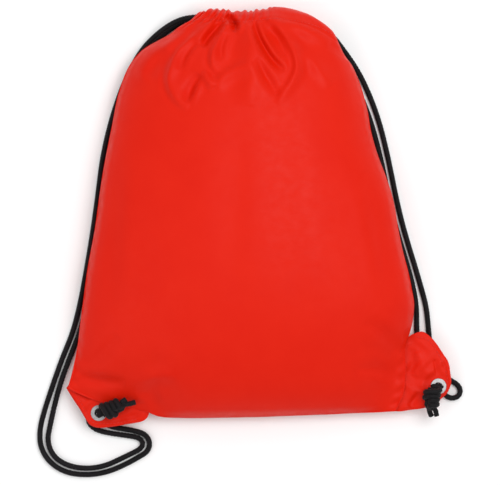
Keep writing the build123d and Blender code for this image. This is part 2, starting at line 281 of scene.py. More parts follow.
# ------------------------------------------------------------------ camera, floor and light
def camera_and_light():
    """A long lens straight above the sack, a pale floor and three soft lamps."""
    look_at = Vector((-0.0084, -0.0234, 0.02))
    distance = 2.4
    view_width = 0.4675      # metres across
    sensor = 36.0
    camera = bpy.data.objects.new("camera", bpy.data.cameras.new("camera"))
    camera.data.sensor_width = sensor
    camera.data.lens = sensor * distance / view_width
    camera.data.clip_end = 20.0
    camera.location = look_at + Vector((0, 0, distance))
    scene.collection.objects.link(camera)
    scene.camera = camera

    far = 4
    floor_corners = [(-far, -far, 0), (far, -far, 0), (far, far, 0), (-far, far, 0)]
    floor = new_mesh("floor", floor_corners, [(0, 1, 2, 3)], smooth=False)
    paper = bpy.data.materials.new("pale_floor")
    paper.use_nodes = True
    shader = paper.node_tree.nodes["Principled BSDF"]
    shader.inputs["Base Color"].default_value = (0.97, 0.97, 0.97, 1)
    shader.inputs["Roughness"].default_value = 0.9
    floor.data.materials.append(paper)

    world = bpy.data.worlds.new("studio")
    world.use_nodes = True
    background = world.node_tree.nodes["Background"]
    background.inputs["Color"].default_value = (1, 1, 1, 1)
    background.inputs["Strength"].default_value = 0.62
    scene.world = world
    lamps = (                # name, place, size, watts
        ("key", (0.55, 0.25, 1.6), 1.0, 14.0),
        ("fill", (-1.2, -0.5, 1.3), 1.4, 5.0),
        ("back", (-0.1, 1.4, 1.1), 1.0, 3.0),
    )
    for name, where, size, power in lamps:
        light = bpy.data.objects.new(name, bpy.data.lights.new(name, "AREA"))
        light.data.size = size
        light.data.energy = power
        light.location = where
        light.rotation_euler = (-Vector(where)).to_track_quat("-Z", "Y").to_euler()
        scene.collection.objects.link(light)
    scene.view_settings.view_transform = "Standard"


camera_and_light()

# ------------------------------------------------------------------ cord routes
FLOOR_Z = 0.0026
CHANNEL_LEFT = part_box("front_channel")[0].x - 0.0003
CHANNEL_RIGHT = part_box("front_channel")[1].x + 0.0003
LEFT_RUN_Y = (sum(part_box("left_cord_front_run"), Vector()) / 2).y
RIGHT_RUN_Y = (sum(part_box("right_cord_front_run"), Vector()) / 2).y
ROUTES = {
    "left_cord_front_strand": [
        (CHANNEL_LEFT, LEFT_RUN_Y, FRONT_CORD_Z), (-0.065, LEFT_RUN_Y, FRONT_CORD_Z),
        (-0.0805, 0.1825, 0.018), (-0.097, 0.1715, 0.0095), (-0.112, 0.156, 0.004),
        (-0.126, 0.130, FLOOR_Z), (-0.138, 0.096, FLOOR_Z),
        (-0.147, 0.059, FLOOR_Z), (-0.1515, 0.022, FLOOR_Z), (-0.1565, -0.014, FLOOR_Z),
        (-0.162, -0.047, FLOOR_Z), (-0.168, -0.080, FLOOR_Z), (-0.175, -0.108, FLOOR_Z),
        (-0.185, -0.132, FLOOR_Z), (-0.1935, -0.156, FLOOR_Z), (-0.2015, -0.180, FLOOR_Z),
        (-0.2065, -0.199, FLOOR_Z), (-0.206, -0.216, FLOOR_Z), (-0.197, -0.231, FLOOR_Z),
        (-0.181, -0.2405, FLOOR_Z), (-0.161, -0.2425, FLOOR_Z), (-0.142, -0.2395, FLOOR_Z),
        (-0.125, -0.232, FLOOR_Z), (-0.1120, -0.2248, FLOOR_Z), (-0.1045, -0.2200, FLOOR_Z),
        (-0.1024, -0.2117, FLOOR_Z), (-0.1066, -0.2043, FLOOR_Z), (-0.1150, -0.2011, FLOOR_Z),
        (-0.1255, -0.1992, FLOOR_Z), (-0.138, -0.1972, FLOOR_Z),
        (-0.148, -0.193, FLOOR_Z), (-0.150, -0.1871, FLOOR_Z),
    ],
    "left_cord_back_strand": [
        (CHANNEL_LEFT, LEFT_RUN_Y, BACK_CORD_Z), (-0.062, LEFT_RUN_Y, BACK_CORD_Z),
        (-0.0785, 0.1805, 0.0055),
        (-0.0945, 0.1690, 0.0035), (-0.1075, 0.1520, FLOOR_Z), (-0.1205, 0.1278, FLOOR_Z),
        (-0.131, 0.094, FLOOR_Z), (-0.140, 0.058, FLOOR_Z), (-0.145, 0.022, FLOOR_Z),
        (-0.150, -0.013, FLOOR_Z), (-0.1555, -0.046, FLOOR_Z), (-0.1615, -0.079, FLOOR_Z),
        (-0.1685, -0.108, FLOOR_Z), (-0.1785, -0.133, FLOOR_Z), (-0.187, -0.156, FLOOR_Z),
        (-0.1925, -0.177, FLOOR_Z), (-0.1965, -0.195, FLOOR_Z), (-0.1995, -0.211, FLOOR_Z),
        (-0.193, -0.226, FLOOR_Z), (-0.178, -0.2345, FLOOR_Z), (-0.160, -0.2365, FLOOR_Z),
        (-0.144, -0.2335, FLOOR_Z), (-0.131, -0.2275, FLOOR_Z), (-0.1194, -0.2219, FLOOR_Z),
        (-0.1132, -0.2188, FLOOR_Z), (-0.1096, -0.2152, FLOOR_Z), (-0.1097, -0.2104, FLOOR_Z),
        (-0.1137, -0.2071, FLOOR_Z), (-0.1200, -0.2058, FLOOR_Z), (-0.130, -0.2044, FLOOR_Z),
        (-0.140, -0.2030, FLOOR_Z), (-0.1535, -0.200, FLOOR_Z), (-0.161, -0.193, FLOOR_Z),
        (-0.160, -0.1855, FLOOR_Z), (-0.1541, -0.183, FLOOR_Z),
    ],
    "right_cord_front_strand": [
        (CHANNEL_RIGHT, RIGHT_RUN_Y, FRONT_CORD_Z), (0.049, RIGHT_RUN_Y, FRONT_CORD_Z),
        (0.0595, 0.178, 0.0155),
        (0.070, 0.170, 0.007), (0.081, 0.156, 0.0035), (0.094, 0.137, FLOOR_Z), (0.105, 0.1135, FLOOR_Z),
        (0.113, 0.091, FLOOR_Z), (0.119, 0.068, FLOOR_Z), (0.124, 0.045, FLOOR_Z),
        (0.1285, 0.022, FLOOR_Z), (0.134, -0.002, FLOOR_Z), (0.1405, -0.025, FLOOR_Z),
        (0.147, -0.046, FLOOR_Z), (0.1525, -0.065, FLOOR_Z), (0.1575, -0.083, FLOOR_Z),
        (0.1595, -0.102, FLOOR_Z), (0.161, -0.120, FLOOR_Z), (0.166, -0.136, FLOOR_Z),
        (0.1725, -0.1475, FLOOR_Z), (0.1800, -0.1530, FLOOR_Z), (0.1865, -0.1567, FLOOR_Z),
        (0.1901, -0.1622, FLOOR_Z), (0.1882, -0.1683, FLOOR_Z), (0.1820, -0.1704, FLOOR_Z),
        (0.1757, -0.1680, FLOOR_Z),
        (0.1704, -0.1614, FLOOR_Z),
    ],
    "right_cord_back_strand": [
        (CHANNEL_RIGHT, RIGHT_RUN_Y, BACK_CORD_Z), (0.0475, RIGHT_RUN_Y, BACK_CORD_Z),
        (0.058, 0.1735, 0.0045),
        (0.067, 0.163, FLOOR_Z), (0.077, 0.149, FLOOR_Z), (0.089, 0.1295, FLOOR_Z),
        (0.099, 0.108, FLOOR_Z), (0.1065, 0.087, FLOOR_Z), (0.1125, 0.065, FLOOR_Z),
        (0.1175, 0.043, FLOOR_Z), (0.122, 0.020, FLOOR_Z), (0.1275, -0.003, FLOOR_Z),
        (0.134, -0.026, FLOOR_Z), (0.1405, -0.047, FLOOR_Z), (0.1455, -0.066, FLOOR_Z),
        (0.1485, -0.084, FLOOR_Z), (0.1485, -0.102, FLOOR_Z), (0.1495, -0.119, FLOOR_Z),
        (0.153, -0.134, FLOOR_Z), (0.1585, -0.146, FLOOR_Z), (0.1651, -0.1551, FLOOR_Z),
    ],
}


def nurbs_points(name, route, resolution=24):
    """The points of a smooth line that has the route's points as its control points."""
    curve = bpy.data.curves.new(name, "CURVE")
    curve.dimensions = "3D"
    spline = curve.splines.new("NURBS")
    spline.points.add(len(route) - 1)
    for point, place in zip(spline.points, route):
        point.co = (*place, 1.0)
    spline.order_u = 3
    spline.use_endpoint_u = True
    spline.resolution_u = resolution
    holder = bpy.data.objects.new(name + "_line", curve)
    scene.collection.objects.link(holder)
    bpy.context.view_layer.update()
    graph = bpy.context.evaluated_depsgraph_get()
    line = bpy.data.meshes.new_from_object(holder.evaluated_get(graph))
    points = np.array([v.co for v in line.vertices], float)
    bpy.data.objects.remove(holder)
    bpy.data.meshes.remove(line)
    return points


def even_steps(points, step):
    reach = np.concatenate([[0], np.cumsum(np.linalg.norm(np.diff(points, axis=0), axis=1))])
    count = max(4, int(round(reach[-1] / step)) + 1)
    at = np.linspace(0, reach[-1], count)
    return np.column_stack([np.interp(at, reach, points[:, k]) for k in range(3)]), at


def frames_along(points):
    """Two directions across the line at each point, turning as little as possible."""
    tangents = np.gradient(points, axis=0)
    tangents /= np.linalg.norm(tangents, axis=1)[:, None]
    first = np.cross(tangents[0], (0, 0, 1.0))
    if np.linalg.norm(first) < 1e-6:
        first = np.array((1.0, 0, 0))
    across = [first / np.linalg.norm(first)]
    for tangent in tangents[1:]:
        side = across[-1] - tangent * (across[-1] @ tangent)
        across.append(side / np.linalg.norm(side))
    across = np.array(across)
    return tangents, across, np.cross(tangents, across)


BRAID_PITCH = 0.0125
BRAID_YARNS = 8


def braided_tube(name, points, diameter=CORD_D, step=0.0006, around=28, caps=True):
    """A round braid: yarns cross over each other both ways round the cord."""
    points, at = even_steps(np.asarray(points, float), step)
    _, across, up = frames_along(points)
    angle = np.linspace(0, 2 * math.pi, around, endpoint=False)
    turn = 2 * math.pi * at / BRAID_PITCH
    one_way = np.cos(BRAID_YARNS / 2 * (angle[None] + turn[:, None]))
    other_way = np.cos(BRAID_YARNS / 2 * (angle[None] - turn[:, None]))
    relief = np.maximum(one_way, other_way)
    radius = diameter / 2 * (0.935 + 0.095 * relief)
    rings = (points[:, None] + radius[..., None] * (np.cos(angle)[None, :, None] * across[:, None]
                                                      + np.sin(angle)[None, :, None] * up[:, None]))
    vertices = rings.reshape(-1, 3)
    faces = grid_faces(len(points), around, wrap=True)
    if caps:
        faces.append(tuple(range(around - 1, -1, -1)))
        base = (len(points) - 1) * around
        faces.append(tuple(range(base, base + around)))
    return new_mesh(name, vertices, faces, CORD), points


cord_lines = {}
cords = {}
for name, route in ROUTES.items():
    line = nurbs_points(name, route)
    cords[name], cord_lines[name] = braided_tube(name + "_braid", line)


# The stretch of each cord inside the hems: along the front, round past the far end, and back.
LOOPS = {
    "left": [(CHANNEL_LEFT, LEFT_RUN_Y, FRONT_CORD_Z), (-0.020, LEFT_RUN_Y, FRONT_CORD_Z),
             (0.010, LEFT_RUN_Y, FRONT_CORD_Z), (0.032, LEFT_RUN_Y, FRONT_CORD_Z),
             (0.041, LEFT_RUN_Y, 0.025), (0.046, LEFT_RUN_Y, 0.0165), (0.041, LEFT_RUN_Y, 0.008),
             (0.032, LEFT_RUN_Y, BACK_CORD_Z), (0.010, LEFT_RUN_Y, BACK_CORD_Z),
             (-0.020, LEFT_RUN_Y, BACK_CORD_Z), (CHANNEL_LEFT, LEFT_RUN_Y, BACK_CORD_Z)],
    "right": [(CHANNEL_RIGHT, RIGHT_RUN_Y, FRONT_CORD_Z), (0.010, RIGHT_RUN_Y, FRONT_CORD_Z),
              (-0.020, RIGHT_RUN_Y, FRONT_CORD_Z), (CHANNEL_LEFT, RIGHT_RUN_Y, FRONT_CORD_Z),
              (-0.060, RIGHT_RUN_Y, 0.025), (-0.065, RIGHT_RUN_Y, 0.0165), (-0.060, RIGHT_RUN_Y, 0.008),
              (CHANNEL_LEFT, RIGHT_RUN_Y, BACK_CORD_Z), (-0.020, RIGHT_RUN_Y, BACK_CORD_Z),
              (0.010, RIGHT_RUN_Y, BACK_CORD_Z), (CHANNEL_RIGHT, RIGHT_RUN_Y, BACK_CORD_Z)],
}
loops = {side: braided_tube(side + "_cord_in_hems", nurbs_points(side + "_loop", route))[0]
         for side, route in LOOPS.items()}


# ------------------------------------------------------------------ the sack's cloth
# Outline of the filled sack, from the bottom up on each side and from left to right across.
LEFT_SIDE = [
    (-0.1790, -0.1600), (-0.1748, -0.1450), (-0.1700, -0.1220), (-0.1672, -0.1000), (-0.1640, -0.0770),
    (-0.1598, -0.0463), (-0.1530, -0.0089), (-0.1485, 0.0240), (-0.1447, 0.0482), (-0.1374, 0.0856),
    (-0.1316, 0.1150), (-0.1225, 0.1398), (-0.1105, 0.1555), (-0.0965, 0.1645), (-0.0845, 0.1705),
    (-0.0735, 0.1782), (-0.0640, 0.1835), (-0.0560, 0.1915),
]
RIGHT_SIDE = [
    (0.1280, -0.1812), (0.1355, -0.1640), (0.1375, -0.1420), (0.1370, -0.1250), (0.1398, -0.1120),
    (0.1430, -0.0995), (0.1450, -0.0820), (0.1425, -0.0660), (0.1392, -0.0500), (0.1345, -0.0320),
    (0.1300, -0.0100), (0.1262, 0.0126), (0.1197, 0.0350), (0.1113, 0.0575), (0.1050, 0.0790),
    (0.1010, 0.1020), (0.0950, 0.1235), (0.0880, 0.1405), (0.0795, 0.1520), (0.0745, 0.1620),
    (0.0695, 0.1720), (0.0605, 0.1808),
]
BOTTOM = [
    (-0.1790, -0.1600), (-0.1650, -0.1665), (-0.1500, -0.1722), (-0.1300, -0.1768), (-0.1130, -0.1800),
    (-0.1035, -0.1822), (-0.0960, -0.1856), (-0.0840, -0.1874), (-0.0600, -0.1878), (-0.0300, -0.1874),
    (0.0000, -0.1868), (0.0300, -0.1857), (0.0600, -0.1846), (0.0900, -0.1832), (0.1110, -0.1824),
    (0.1280, -0.1812),
]
RIM = [
    (-0.0560, 0.1915), (-0.0480, 0.1945), (-0.0380, 0.1955), (-0.0260, 0.1938), (-0.0140, 0.1935),
    (-0.0020, 0.1945), (0.0070, 0.1958), (0.0150, 0.1965), (0.0260, 0.1955), (0.0370, 0.1928),
    (0.0490, 0.1882), (0.0605, 0.1808),
]
COLUMNS = 60             # cells of the grid that is settled as cloth
ROWS = 68
FINER = 4                # cells of the finished cloth along one cell of that grid
CROWN = 0.062            # how far the contents push the front cloth up
SLACK = 1.03             # cloth cut longer than the stretched shape
HEM_ROUND = 0.005        # the turn of the hem over the cords
HEM_STITCH = 0.0225      # the hem's stitch line, from its folded edge
FRONT_TUNNEL = (0.0210, FRONT_CORD_Z + 0.0005, 0.0312)      # inner cloth, fold line, outer cloth
BACK_TUNNEL = (0.0125, BACK_CORD_Z, 0.0012)
PLEATS = 21              # small pleats along the whole gathered edge
PLEAT_LIFT = 0.0020      # how far a pleat rises, and how far it draws the edge back
PLEAT_SCALLOP = 0.0011
GROOVE_DEPTH = 0.0007    # the cloth pressed down along the hem's stitch line
GROOVE_WIDTH = 0.0013
FOLD_DEPTH = 1.2         # scales all the heights in FOLDS
LOWEST = 0.0002          # the back cloth lies on the floor
SEAM_LOW = 0.0165        # height of the side seam at its ends, and how far it rises between
SEAM_RISE = 0.0075
RELAX_TURNS = 900
OVER_RELAX = 1.85        # each turn goes this much of the way to the mean, which settles faster
SETTLE_PRESSURE = 2.2
SETTLE_FRAMES = 20
# Where the corners leave the sack.
EAR_LINES = (
    [(-0.1790, -0.1600), (-0.1500, -0.1722), (-0.1035, -0.1822)],
    [(0.1280, -0.1812), (0.1375, -0.1420)],
)


def coons(left, right, bottom, top):
    """Fill in between four edges that meet at their ends."""
    s = np.linspace(0, 1, len(bottom))[None, :, None]
    t = np.linspace(0, 1, len(left))[:, None, None]
    corners = ((1 - s) * (1 - t) * bottom[0] + s * (1 - t) * bottom[-1]
               + (1 - s) * t * top[0] + s * t * top[-1])
    return (1 - s) * left[:, None] + s * right[:, None] + (1 - t) * bottom[None] + t * top[None] - corners


def seam_height(y):
    """Height of the side seam over the floor."""
    return SEAM_LOW + SEAM_RISE * smoothstep(y, -0.19, -0.05) * (1 - smoothstep(y, 0.05, 0.165))


def near_ears(xy, reach):
    """1 along the lines where the corners leave the sack, fading out over the reach."""
    nearest = np.min([line_distance(xy, np.array(line))[0] for line in EAR_LINES], axis=0)
    return np.exp(-(nearest / reach) ** 2)


def blend_values(a, b, share):
    return a + (b - a) * share


def membrane(plan, edge_z, load):
    """Heights of a skin held at its edge and pushed up by the load."""
    z = edge_z.copy()
    across = np.linalg.norm(plan[:, -1] - plan[:, 0], axis=1) / (plan.shape[1] - 1)
    along = np.linalg.norm(plan[-1] - plan[0], axis=1).mean() / (plan.shape[0] - 1)
    wx = (1 / across ** 2)[1:-1, None]
    wy = 1 / along ** 2
    inner_rows = np.arange(1, plan.shape[0] - 1)
    inner_columns = np.arange(1, plan.shape[1] - 1)
    odd = (np.add.outer(inner_rows, inner_columns) % 2).astype(bool)
    for turn in range(RELAX_TURNS):
        beside = wx * (z[1:-1, 2:] + z[1:-1, :-2])
        above = wy * (z[2:, 1:-1] + z[:-2, 1:-1])
        mean = (beside + above + load) / (2 * (wx + wy))
        pick = odd if turn % 2 else ~odd
        z[1:-1, 1:-1][pick] += OVER_RELAX * (mean - z[1:-1, 1:-1])[pick]
    return z


def refine(grid, factor):
    """A finer grid through the same points, cubic along both directions."""
    for axis in (0, 1):
        g = np.moveaxis(grid, axis, 0)
        g = np.concatenate([2 * g[:1] - g[1:2], g, 2 * g[-1:] - g[-2:-1]])
        a, b, c, d = g[:-3], g[1:-2], g[2:-1], g[3:]
        parts = [0.5 * (2 * b + (c - a) * u + (2 * a - 5 * b + 4 * c - d) * u * u
                        + (3 * b - a - 3 * c + d) * u ** 3)
                 for u in np.linspace(0, 1, factor, endpoint=False)]
        fine = np.stack(parts, axis=1).reshape(-1, *b.shape[1:])
        grid = np.moveaxis(np.concatenate([fine, g[-2:-1]]), 0, axis)
    return grid


def settle(grid, slack, pressure, frames):
    """Let a sheet held at its edge settle as cloth that is a little too large for its frame."""
    rows, columns = grid.shape[:2]
    vertices = grid.reshape(-1, 3)
    obj = new_mesh("settling_cloth", vertices, grid_faces(rows, columns))
    index = np.arange(rows * columns).reshape(rows, columns)
    held = np.unique(np.concatenate([index[0], index[-1], index[:, 0], index[:, -1]]))
    group = obj.vertex_groups.new(name="held")
    group.add([int(i) for i in held], 1.0, "REPLACE")
    obj.shape_key_add(name="Basis")
    cut = obj.shape_key_add(name="cut")
    centre = vertices.mean(axis=0)
    cut.data.foreach_set("co", (centre + (vertices - centre) * slack).ravel())
    cloth = obj.modifiers.new("cloth", "CLOTH")
    settings = cloth.settings
    settings.quality = 8
    settings.mass = 0.12
    settings.tension_stiffness = 25
    settings.compression_stiffness = 25
    settings.shear_stiffness = 6
    settings.bending_stiffness = 0.35
    settings.air_damping = 3
    settings.vertex_group_mass = "held"
    settings.rest_shape_key = cut
    settings.use_pressure = True
    settings.uniform_pressure_force = pressure
    settings.effector_weights.gravity = 0
    cloth.collision_settings.use_collision = False
    for frame_number in range(1, frames + 1):
        scene.frame_set(frame_number)
    graph = bpy.context.evaluated_depsgraph_get()
    settled = np.array([v.co for v in obj.evaluated_get(graph).data.vertices], float)
    scene.frame_set(1)
    bpy.data.objects.remove(obj)
    return settled.reshape(grid.shape)


# Folds of the front cloth: points, height (negative for a crease), and the half widths on
# the fold's left and right side.
FOLDS = [
    ([(-0.0290, 0.1880), (-0.0252, 0.1828), (-0.0215, 0.1772), (-0.0243, 0.1716)], -0.0070, 0.0024, 0.0030),
    ([(-0.0346, 0.1835), (-0.0402, 0.1744), (-0.0468, 0.1660), (-0.0524, 0.1566)], -0.0058, 0.0030, 0.0034),
    ([(-0.0271, 0.1790), (-0.0346, 0.1660), (-0.0421, 0.1519), (-0.0430, 0.1417), (-0.0393, 0.1323)],
     0.0036, 0.0070, 0.0026),
    ([(-0.0300, 0.1700), (-0.0350, 0.1560), (-0.0350, 0.1440)], -0.0026, 0.0026, 0.0050),
    ([(-0.0486, 0.1800), (-0.0626, 0.1641), (-0.0739, 0.1529), (-0.0813, 0.1379), (-0.0832, 0.1248),
      (-0.0795, 0.1136), (-0.0720, 0.1042), (-0.0645, 0.1005)], 0.0032, 0.0065, 0.0030),
    ([(-0.0560, 0.1640), (-0.0680, 0.1500), (-0.0740, 0.1360)], -0.0026, 0.0030, 0.0060),
    ([(-0.0552, 0.1314), (-0.0617, 0.1192), (-0.0673, 0.1052)], -0.0036, 0.0030, 0.0055),
    ([(-0.0514, 0.1342), (-0.0449, 0.1230), (-0.0411, 0.1192)], 0.0028, 0.0035, 0.0035),
    ([(-0.0411, 0.1192), (-0.0327, 0.1286), (-0.0196, 0.1360), (-0.0065, 0.1417)], 0.0026, 0.0045, 0.0060),
    ([(-0.0112, 0.1890), (-0.0084, 0.1660), (-0.0065, 0.1380), (-0.0084, 0.1005)], 0.0036, 0.0090, 0.0090),
    ([(-0.0065, 0.1850), (-0.0009, 0.1678), (0.0047, 0.1566), (0.0122, 0.1454), (0.0234, 0.1342)],
     -0.0050, 0.0024, 0.0036),
    ([(-0.0019, 0.1463), (0.0047, 0.1323), (0.0112, 0.1220), (0.0168, 0.1117)], -0.0026, 0.0032, 0.0040),
    ([(0.0019, 0.1870), (0.0140, 0.1791), (0.0243, 0.1678), (0.0318, 0.1529), (0.0346, 0.1379),
      (0.0299, 0.1248), (0.0224, 0.1136), (0.0168, 0.1024)], 0.0034, 0.0055, 0.0030),
    ([(0.0090, 0.1740), (0.0180, 0.1620), (0.0240, 0.1480)], -0.0026, 0.0030, 0.0060),
    ([(0.0028, 0.1840), (0.0290, 0.1772), (0.0496, 0.1697), (0.0664, 0.1604)], 0.0028, 0.0060, 0.0060),
    ([(0.0411, 0.1529), (0.0552, 0.1360), (0.0664, 0.1211)], 0.0018, 0.0060, 0.0050),
    ([(-0.0870, 0.1548), (-0.0972, 0.1417), (-0.1057, 0.1304)], -0.0030, 0.0070, 0.0070),
    ([(-0.0645, 0.1800), (-0.0832, 0.1613), (-0.1000, 0.1454), (-0.1113, 0.1267)], 0.0024, 0.0060, 0.0060),
    ([(-0.0180, 0.1000), (-0.0215, 0.0160), (-0.0252, -0.0770)], -0.0010, 0.0120, 0.0160),
    ([(0.0384, 0.1100), (0.0496, 0.0160), (0.0552, -0.0770)], 0.0010, 0.0160, 0.0140),
    ([(-0.1300, 0.0600), (-0.1340, -0.0100), (-0.1380, -0.0900)], -0.0012, 0.0080, 0.0110),
    ([(0.0980, 0.0400), (0.1120, -0.0200), (0.1200, -0.0800)], -0.0014, 0.0090, 0.0070),
    ([(-0.1690, -0.1480), (-0.1480, -0.1520), (-0.1240, -0.1540)], -0.0022, 0.0045, 0.0050),
    ([(-0.1660, -0.1400), (-0.1480, -0.1280), (-0.1300, -0.1100)], -0.0016, 0.0060, 0.0060),
    ([(-0.1180, -0.1560), (-0.0980, -0.1480), (-0.0760, -0.1460)], 0.0016, 0.0070, 0.0050),
    ([(0.1290, -0.1250), (0.1150, -0.1080), (0.0980, -0.0960)], -0.0018, 0.0050, 0.0060),
    ([(0.1300, -0.1500), (0.1120, -0.1420), (0.0900, -0.1400)], -0.0016, 0.0050, 0.0060),
]


def fold_relief(xy):
    """Height that the folds add to the front cloth."""
    relief = np.zeros(len(xy))
    for points, height, left_width, right_width in FOLDS:
        line = smooth_line(points, 8 * len(points))
        dist, along, side = line_distance(xy, line)
        width = np.where(side > 0, left_width, right_width)
        fade = np.sin(math.pi * np.clip(along, 0.0, 1.0)) ** 0.6
        bank = np.exp(-((dist - 2.1 * width) / width) ** 2) * 0.25
        relief += FOLD_DEPTH * height * (np.exp(-(dist / width) ** 2) - bank) * fade
    return relief


def pleat_wave(s):
    """Uneven pleats along the gathered edge, from -1 to 1."""
    warped = s + 0.016 * np.sin(9.0 * s + 0.6) + 0.007 * np.sin(31.0 * s)
    turns = 2 * math.pi * PLEATS * warped
    wave = np.sin(turns) + 0.7 * np.sin(0.44 * turns + 0.9)
    return np.clip(wave, -1.25, 1.25) / 1.25


def gathering(s):
    """How tightly the edge is gathered: hardly at all towards its right end."""
    slack_end = 1 - 0.96 * smoothstep(s, 0.48, 0.62)
    return smoothstep(s, 0.0, 0.06) * slack_end * (1 - smoothstep(s, 0.9, 1.0))


def panel_grid(side):
    """Settled cloth of one panel on a fine grid, its bottom row first."""
    left = smooth_line(LEFT_SIDE, ROWS + 1)
    right = smooth_line(RIGHT_SIDE, ROWS + 1)
    bottom = smooth_line(BOTTOM, COLUMNS + 1)
    top = smooth_line(RIM, COLUMNS + 1)
    plan = coons(left, right, bottom, top)
    edge = np.zeros((ROWS + 1, COLUMNS + 1))
    outer = FRONT_TUNNEL[2] if side == "front" else BACK_TUNNEL[2]
    start, end = ((0.130, 0.168) if side == "front" else (0.128, 0.146))
    edge[:, 0] = blend_values(seam_height(left[:, 1]), outer, smoothstep(left[:, 1], 0.160, 0.180))
    edge[:, -1] = blend_values(seam_height(right[:, 1]), outer, smoothstep(right[:, 1], start, end))
    edge[0] = seam_height(bottom[:, 1])
    edge += 0.0022 * near_ears(plan.reshape(-1, 2), 0.014).reshape(edge.shape) * (edge > 0)
    edge[-1] = outer
    if side == "front":
        z = membrane(plan, edge, 0.0)
        bulge = membrane(plan, np.zeros_like(edge), 1.0)
        soft = 1 - 0.72 * near_ears(plan.reshape(-1, 2), 0.026).reshape(edge.shape)
        z += CROWN * 0.9 * (bulge / bulge.max()) ** 0.6 * soft
        grid = np.dstack([plan, z])
        return refine(settle(grid, SLACK, SETTLE_PRESSURE, SETTLE_FRAMES), FINER)
    inside, _, _ = line_distance(plan.reshape(-1, 2), np.vstack([left[::-1], bottom, right]))
    down = (1 - (1 - np.clip(inside / 0.055, 0, 1)) ** 2.0) ** 0.75
    z = blend_values(membrane(plan, edge, 0.0), BACK_TUNNEL[2], down.reshape(edge.shape))
    return refine(np.dstack([plan, z]), FINER)


def hem(grid, tunnel, sign):
    """Shape the gathered edge and add the hem that is folded back inside it round the cords."""
    inner, fold, outer = tunnel
    s = np.linspace(0, 1, grid.shape[1])
    pleat = pleat_wave(s)
    tight = gathering(s)
    rim = grid[-1].copy()
    scallop = PLEAT_SCALLOP * tight * (pleat - 1)
    reach = np.linalg.norm(grid - rim[None], axis=2)
    q = 1 - np.sqrt(1 - (1 - np.clip(reach / HEM_ROUND, 0, 1)) ** 2)
    grid[..., 2] = blend_values(grid[..., 2], fold, q)
    grid[..., 1] += scallop * (1 - smoothstep(reach, 0.0, 0.012))
    near_rim = (1 - smoothstep(reach, 0.008, 0.034)) * smoothstep(reach, 0.0, 0.005)
    grid[..., 2] += PLEAT_LIFT * tight * pleat * near_rim
    groove = np.exp(-((reach - HEM_STITCH) / GROOVE_WIDTH) ** 2)
    grid[..., 2] -= sign * GROOVE_DEPTH * groove
    stitch_row = int(np.argmin(np.abs(reach[:, grid.shape[1] // 2] - HEM_STITCH)))
    rows = []
    for d in np.linspace(0, HEM_STITCH + 0.0015, 20)[1:]:
        row = grid[-1].copy()
        turn = 1 - math.sqrt(1 - (1 - min(d / HEM_ROUND, 1)) ** 2)
        row[:, 1] -= d
        meet = grid[stitch_row, :, 2] - sign * (CLOTH_T + 0.0004)
        z = blend_values(inner + 0.0008 * tight * pleat, fold, turn)
        row[:, 2] = blend_values(z, meet, smoothstep(d, 0.0160, HEM_STITCH - 0.001))
        rows.append(row)
    return np.concatenate([grid, np.array(rows)]), grid[stitch_row]


def seam_pucker(grid):
    """Small puckers that the sewn seams draw into the cloth beside them."""
    rows, columns = grid.shape[:2]
    for edge, inward in ((grid[:, 0], grid[:, :12]), (grid[:, -1], grid[:, :-13:-1])):
        run = np.concatenate([[0], np.cumsum(np.linalg.norm(np.diff(edge, axis=0), axis=1))])
        wave = np.sin(run * 2 * math.pi / 0.013 + 1.5 * np.sin(run * 41))
        wave *= smoothstep(0.35 - run, 0, 0.03)
        away = np.linalg.norm(inward - edge[:, None], axis=2)
        inward[..., 2] += 0.0007 * wave[:, None] * np.exp(-((away - 0.005) / 0.004) ** 2)


def cloth_panel(name, side):
    """One panel with its gathered hem, as a closed thin sheet, and its stitch line."""
    grid = panel_grid(side)
    flat = grid[..., :2].reshape(-1, 2)
    if side == "front":
        outline = np.vstack([grid[::-1, 0, :2], grid[0, :, :2], grid[:, -1, :2]])[::4]
        fade = smoothstep(line_distance(flat, outline)[0], 0.0, 0.010)
        grid[..., 2] += (fade * fold_relief(flat)).reshape(grid.shape[:2])
        seam_pucker(grid)
        grid, stitch = hem(grid, FRONT_TUNNEL, 1)
    else:
        ripple = np.sin(flat[:, 0] * 95 + 2.2 * np.sin(flat[:, 1] * 31))
        ripple *= np.sin(flat[:, 1] * 37 + 1.0)
        grid[..., 2] += (0.0016 * np.abs(ripple)).reshape(grid.shape[:2])
        gathers = pleat_wave(np.linspace(0, 1, grid.shape[1]))[None] + 1
        grid[..., 2] += 0.0012 * gathers * smoothstep(grid[..., 1], 0.09, 0.165)
        grid, stitch = hem(grid, BACK_TUNNEL, -1)
        grid[..., 2] = np.maximum(grid[..., 2], LOWEST)
    rows, columns = grid.shape[:2]
    obj = new_mesh(name, grid.reshape(-1, 3), grid_faces(rows, columns), CLOTH)
    if side == "back":
        obj.data.flip_normals()
    thick = obj.modifiers.new("thickness", "SOLIDIFY")
    thick.thickness = CLOTH_T
    thick.offset = -1.0
    return apply_modifiers(obj), stitch


STITCH_STEPS = 6         # rings of points along one stitch


